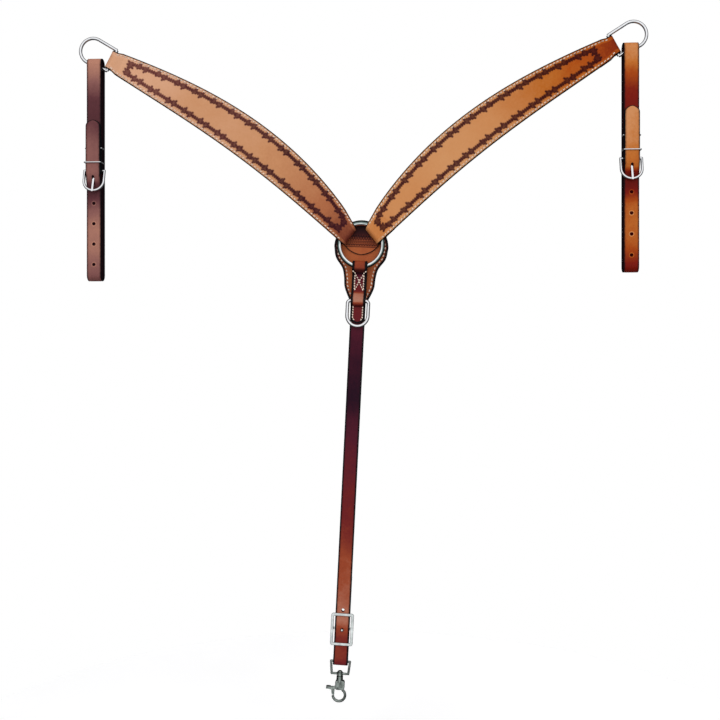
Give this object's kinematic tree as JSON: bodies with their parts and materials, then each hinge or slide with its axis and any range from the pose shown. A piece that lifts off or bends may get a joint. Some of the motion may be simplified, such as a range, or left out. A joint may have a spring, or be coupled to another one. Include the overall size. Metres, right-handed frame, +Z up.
{
  "type": "western horse breast collar",
  "caption": "Contoured leather breast collar with tooled wings, centre ring, buckled tug loops, tie-down dee and a girth strap ending in a trigger snap.",
  "frame": {"origin": "centre of the centre ring, in the middle of its wire", "axes": "+X to the viewer's right, +Z up, -Y towards the viewer; the collar hangs flat in the XZ plane with its tooled face forward"},
  "size_m": [0.9692, 0.0356, 1.1538],
  "materials": {
    "wing_leather": "semi-gloss tooled and antiqued",
    "safe_leather": "semi-gloss",
    "girth_leather": "semi-gloss",
    "tug_leather": "semi-gloss",
    "lining_leather": "matt flesh side",
    "bright_nickel": "polished",
    "snap_steel": "satin plated"
  },
  "bodies": {
    "ring": {"centre_ring": "bright_nickel"},
    "hanger": {"ring_safe_face": "safe_leather", "ring_safe_lining": "lining_leather", "centre_disc": "safe_leather", "hanger_strap": "girth_leather", "girth_strap_upper": "girth_leather"},
    "tie_dee": {"tie_down_dee": "bright_nickel"},
    "girth": {"girth_strap": "girth_leather", "conway_buckle": "bright_nickel"},
    "snap_bail": {"snap_bail": "snap_steel"},
    "snap": {"snap_swivel_rivet": "snap_steel", "snap_body": "snap_steel", "snap_gate_pin": "snap_steel", "snap_spring": "snap_steel"},
    "snap_trigger": {"snap_trigger": "snap_steel"},
    "left_loop": {"left_ring_loop": "wing_leather"},
    "left_wing": {"left_wing_face": "wing_leather", "left_wing_lining": "lining_leather"},
    "left_dee": {"left_shoulder_dee": "bright_nickel"},
    "left_tug": {"left_tug_strap": "tug_leather"},
    "left_buckle": {"left_tug_buckle": "bright_nickel"},
    "left_tongue": {"left_tug_tongue": "bright_nickel"},
    "left_keeper_low": {"left_lower_keeper": "bright_nickel"},
    "left_keeper_up": {"left_upper_keeper": "bright_nickel"},
    "right_loop": {"right_ring_loop": "wing_leather"},
    "right_wing": {"right_wing_face": "wing_leather", "right_wing_lining": "lining_leather"},
    "right_dee": {"right_shoulder_dee": "bright_nickel"},
    "right_tug": {"right_tug_strap": "tug_leather"},
    "right_buckle": {"right_tug_buckle": "bright_nickel"},
    "right_tongue": {"right_tug_tongue": "bright_nickel"},
    "right_keeper_low": {"right_lower_keeper": "bright_nickel"},
    "right_keeper_up": {"right_upper_keeper": "bright_nickel"}
  },
  "joints": [
    {"name": "girth_sway", "type": "hinge", "parent": "ring", "child": "hanger", "pos_m": [0, 0, 0], "axis": [0, -1, 0], "range_deg": [-25, 25]},
    {"name": "girth_swing", "type": "hinge", "parent": "hanger", "child": "girth", "pos_m": [-0.00746, 0.0043, -0.14981], "axis": [-0.9988, 0, 0.0497], "range_deg": [-70, 70]},
    {"name": "tie_down_dee_swing", "type": "hinge", "parent": "hanger", "child": "tie_dee", "pos_m": [-0.00472, -0.0011, -0.09488], "axis": [-0.9988, 0, 0.0497], "range_deg": [0, 150]},
    {"name": "snap_bail_swing", "type": "hinge", "parent": "girth", "child": "snap_bail", "pos_m": [-0.03535, 0.00635, -0.71012], "axis": [-0.9988, 0, 0.0497], "range_deg": [-60, 60]},
    {"name": "snap_swivel", "type": "hinge", "parent": "snap_bail", "child": "snap", "pos_m": [-0.03679, 0.00635, -0.73908], "axis": [0.0497, 0, 0.9988], "continuous": true},
    {"name": "snap_trigger_pull", "type": "hinge", "parent": "snap", "child": "snap_trigger", "pos_m": [-0.03878, 0.00635, -0.7488], "axis": [0, -1, 0], "range_deg": [0, 20], "stiffness_Nm_per_rad": 0.1, "springref_deg": -11.46},
    {"name": "left_wing_spread", "type": "hinge", "parent": "ring", "child": "left_loop", "pos_m": [0, 0, 0], "axis": [0, 1, 0], "range_deg": [0, 13]},
    {"name": "left_wing_fold", "type": "hinge", "parent": "left_loop", "child": "left_wing", "pos_m": [-0.0441, 0, 0.0446], "axis": [-0.7496, 0, -0.6619], "range_deg": [-30, 80], "stiffness_Nm_per_rad": 2.5},
    {"name": "left_dee_swing", "type": "hinge", "parent": "left_wing", "child": "left_dee", "pos_m": [-0.43056, 0, 0.32097], "axis": [-0.4594, 0, -0.8883], "range_deg": [-70, 70]},
    {"name": "left_tug_swing", "type": "hinge", "parent": "left_dee", "child": "left_tug", "pos_m": [-0.45887, 0, 0.31766], "axis": [-1, 0, 0], "range_deg": [-18, 18]},
    {"name": "left_buckle_tilt", "type": "hinge", "parent": "left_tug", "child": "left_buckle", "pos_m": [-0.45887, -0.00725, 0.12996], "axis": [-1, 0, 0], "range_deg": [0, 6]},
    {"name": "left_tongue_tilt", "type": "hinge", "parent": "left_tug", "child": "left_tongue", "pos_m": [-0.45887, -0.00725, 0.12996], "axis": [-1, 0, 0], "range_deg": [0, 6]},
    {"name": "left_lower_keeper_slide", "type": "slide", "parent": "left_tug", "child": "left_keeper_low", "axis": [0, 0, 1], "range_m": [0, 0.012]},
    {"name": "left_upper_keeper_slide", "type": "slide", "parent": "left_tug", "child": "left_keeper_up", "axis": [0, 0, 1], "range_m": [0, 0.012]},
    {"name": "right_wing_spread", "type": "hinge", "parent": "ring", "child": "right_loop", "pos_m": [0, 0, 0], "axis": [0, -1, 0], "range_deg": [0, 13]},
    {"name": "right_wing_fold", "type": "hinge", "parent": "right_loop", "child": "right_wing", "pos_m": [0.04308, 0, 0.04559], "axis": [-0.7645, 0, 0.6447], "range_deg": [-30, 80], "stiffness_Nm_per_rad": 2.5},
    {"name": "right_dee_swing", "type": "hinge", "parent": "right_wing", "child": "right_dee", "pos_m": [0.42316, 0, 0.33066], "axis": [-0.4794, 0, 0.8776], "range_deg": [-70, 70]},
    {"name": "right_tug_swing", "type": "hinge", "parent": "right_dee", "child": "right_tug", "pos_m": [0.45107, 0, 0.32806], "axis": [-1, 0, 0], "range_deg": [-18, 18]},
    {"name": "right_buckle_tilt", "type": "hinge", "parent": "right_tug", "child": "right_buckle", "pos_m": [0.45107, -0.00725, 0.14039], "axis": [-1, 0, 0], "range_deg": [0, 6]},
    {"name": "right_tongue_tilt", "type": "hinge", "parent": "right_tug", "child": "right_tongue", "pos_m": [0.45107, -0.00725, 0.14039], "axis": [-1, 0, 0], "range_deg": [0, 6]},
    {"name": "right_lower_keeper_slide", "type": "slide", "parent": "right_tug", "child": "right_keeper_low", "axis": [0, 0, 1], "range_m": [0, 0.012]},
    {"name": "right_upper_keeper_slide", "type": "slide", "parent": "right_tug", "child": "right_keeper_up", "axis": [0, 0, 1], "range_m": [0, 0.012]}
  ],
  "couplings": [
    {"joint": "left_tongue_tilt", "follows": "left_buckle_tilt", "ratio": 1},
    {"joint": "right_tongue_tilt", "follows": "right_buckle_tilt", "ratio": 1}
  ]
}
